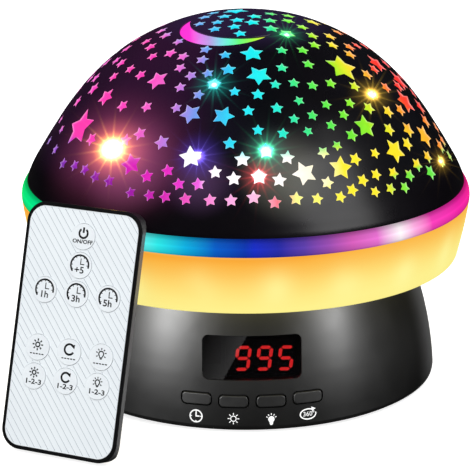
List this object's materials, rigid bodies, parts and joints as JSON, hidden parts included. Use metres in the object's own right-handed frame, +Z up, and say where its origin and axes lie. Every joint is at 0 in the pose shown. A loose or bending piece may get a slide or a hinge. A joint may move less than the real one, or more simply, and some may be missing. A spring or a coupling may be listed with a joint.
{
  "type": "star night light projector",
  "caption": "Mushroom-shaped star night light with a pierced turning dome, two lit rings, a numeric display, push buttons and a card remote.",
  "frame": {"origin": "on the floor under the axis that the dome turns about", "axes": "+Z up along the dome's axis, display and buttons towards -Y, USB socket towards +Y"},
  "size_m": [0.1529, 0.1658, 0.1223],
  "materials": {
    "charcoal_plastic": "satin moulded ABS",
    "dome_black": "gloss black",
    "smoked_lens": "gloss smoked",
    "rubber_black": "matte",
    "screw_steel": "zinc plated",
    "board_green": "solder mask",
    "board_white": "white solder mask",
    "component_black": "moulded epoxy",
    "display_face": "dark face",
    "socket_steel": "drawn shell",
    "warm_diffuser": "translucent opal, lit warm",
    "rainbow_diffuser": "translucent opal, lit in changing colours",
    "inner_white": "white ABS",
    "led_package": "LED package",
    "liner_opal": "opal film",
    "motor_steel": "pressed can",
    "gear_nylon": "natural acetal",
    "wire_sleeve": "sleeved wires",
    "button_plastic": "satin moulded ABS",
    "remote_black": "satin moulded ABS",
    "overlay_film": "printed polyester film",
    "key_film": "printed polyester film",
    "spring_steel": "sprung strip",
    "cell_steel": "nickel plated",
    "ir_epoxy": "dark epoxy"
  },
  "bodies": {
    "lamp": {"base_housing": "charcoal_plastic", "base_plate": "charcoal_plastic", "rubber_foot_ring": "rubber_black", "base_screws": "screw_steel", "display_window": "smoked_lens", "display_module": "display_face", "ir_receiver": "ir_epoxy", "control_board": "board_green", "tact_switches": "component_black", "main_board": "board_green", "board_components": "component_black", "usb_socket": "socket_steel", "warm_diffuser_ring": "warm_diffuser", "ring_reflector": "inner_white", "warm_led_strip": "board_white", "warm_leds": "led_package", "rainbow_light_ring": "rainbow_diffuser", "rgb_led_board": "board_white", "rgb_leds": "led_package", "deck": "inner_white", "gear_motor": "motor_steel", "chassis_screws": "screw_steel", "star_led_board": "board_white", "star_leds": "led_package", "light_cable": "wire_sleeve", "thrust_washer": "gear_nylon", "turntable_retainer": "gear_nylon"},
    "dome": {"turntable": "gear_nylon", "dome_liner": "liner_opal", "star_dome": "dome_black", "dome_screws": "screw_steel"},
    "pinion": {"motor_shaft": "screw_steel", "drive_pinion": "gear_nylon"},
    "timer_button": {"timer_button": "button_plastic"},
    "brightness_button": {"brightness_button": "button_plastic"},
    "light_button": {"light_button": "button_plastic"},
    "rotation_button": {"rotation_button": "button_plastic"},
    "remote": {"remote_back_shell": "remote_black", "remote_front_shell": "remote_black", "remote_overlay": "overlay_film", "remote_board": "board_green", "snap_domes": "spring_steel", "infrared_led": "ir_epoxy", "battery_contacts": "spring_steel"},
    "battery_tray": {"battery_tray": "remote_black", "coin_cell": "cell_steel"},
    "key_power": {"key_power": "key_film"},
    "key_five_minutes": {"key_five_minutes": "key_film"},
    "key_one_hour": {"key_one_hour": "key_film"},
    "key_three_hours": {"key_three_hours": "key_film"},
    "key_five_hours": {"key_five_hours": "key_film"},
    "key_warm_light": {"key_warm_light": "key_film"},
    "key_rotate": {"key_rotate": "key_film"},
    "key_colour": {"key_colour": "key_film"},
    "key_warm_modes": {"key_warm_modes": "key_film"},
    "key_rotate_modes": {"key_rotate_modes": "key_film"},
    "key_colour_modes": {"key_colour_modes": "key_film"}
  },
  "joints": [
    {"name": "dome_spin", "type": "hinge", "parent": "lamp", "child": "dome", "pos_m": [0, 0, 0.0676], "axis": [0, 0, 1], "continuous": true},
    {"name": "pinion_spin", "type": "hinge", "parent": "lamp", "child": "pinion", "pos_m": [0, 0.0375, 0.062], "axis": [0, 0, 1], "continuous": true},
    {"name": "timer_button_press", "type": "slide", "parent": "lamp", "child": "timer_button", "axis": [0, 1, 0], "range_m": [0, 0.0006], "stiffness_N_per_m": 1500},
    {"name": "brightness_button_press", "type": "slide", "parent": "lamp", "child": "brightness_button", "axis": [0, 1, 0], "range_m": [0, 0.0006], "stiffness_N_per_m": 1500},
    {"name": "light_button_press", "type": "slide", "parent": "lamp", "child": "light_button", "axis": [0, 1, 0], "range_m": [0, 0.0006], "stiffness_N_per_m": 1500},
    {"name": "rotation_button_press", "type": "slide", "parent": "lamp", "child": "rotation_button", "axis": [0, 1, 0], "range_m": [0, 0.0006], "stiffness_N_per_m": 1500},
    {"name": "remote_lift", "type": "slide", "parent": "lamp", "child": "remote", "axis": [0, 0, 1], "range_m": [0, 0.1]},
    {"name": "battery_tray_slide", "type": "slide", "parent": "remote", "child": "battery_tray", "axis": [-0.1319, -0.273, -0.9529], "range_m": [0, 0.024]},
    {"name": "key_power_press", "type": "slide", "parent": "remote", "child": "key_power", "axis": [0.4144, 0.8581, -0.3032], "range_m": [0, 0.0003], "stiffness_N_per_m": 2500},
    {"name": "key_five_minutes_press", "type": "slide", "parent": "remote", "child": "key_five_minutes", "axis": [0.4144, 0.8581, -0.3032], "range_m": [0, 0.0003], "stiffness_N_per_m": 2500},
    {"name": "key_one_hour_press", "type": "slide", "parent": "remote", "child": "key_one_hour", "axis": [0.4144, 0.8581, -0.3032], "range_m": [0, 0.0003], "stiffness_N_per_m": 2500},
    {"name": "key_three_hours_press", "type": "slide", "parent": "remote", "child": "key_three_hours", "axis": [0.4144, 0.8581, -0.3032], "range_m": [0, 0.0003], "stiffness_N_per_m": 2500},
    {"name": "key_five_hours_press", "type": "slide", "parent": "remote", "child": "key_five_hours", "axis": [0.4144, 0.8581, -0.3032], "range_m": [0, 0.0003], "stiffness_N_per_m": 2500},
    {"name": "key_warm_light_press", "type": "slide", "parent": "remote", "child": "key_warm_light", "axis": [0.4144, 0.8581, -0.3032], "range_m": [0, 0.0003], "stiffness_N_per_m": 2500},
    {"name": "key_rotate_press", "type": "slide", "parent": "remote", "child": "key_rotate", "axis": [0.4144, 0.8581, -0.3032], "range_m": [0, 0.0003], "stiffness_N_per_m": 2500},
    {"name": "key_colour_press", "type": "slide", "parent": "remote", "child": "key_colour", "axis": [0.4144, 0.8581, -0.3032], "range_m": [0, 0.0003], "stiffness_N_per_m": 2500},
    {"name": "key_warm_modes_press", "type": "slide", "parent": "remote", "child": "key_warm_modes", "axis": [0.4144, 0.8581, -0.3032], "range_m": [0, 0.0003], "stiffness_N_per_m": 2500},
    {"name": "key_rotate_modes_press", "type": "slide", "parent": "remote", "child": "key_rotate_modes", "axis": [0.4144, 0.8581, -0.3032], "range_m": [0, 0.0003], "stiffness_N_per_m": 2500},
    {"name": "key_colour_modes_press", "type": "slide", "parent": "remote", "child": "key_colour_modes", "axis": [0.4144, 0.8581, -0.3032], "range_m": [0, 0.0003], "stiffness_N_per_m": 2500}
  ],
  "couplings": [
    {"joint": "pinion_spin", "follows": "dome_spin", "ratio": -4}
  ]
}
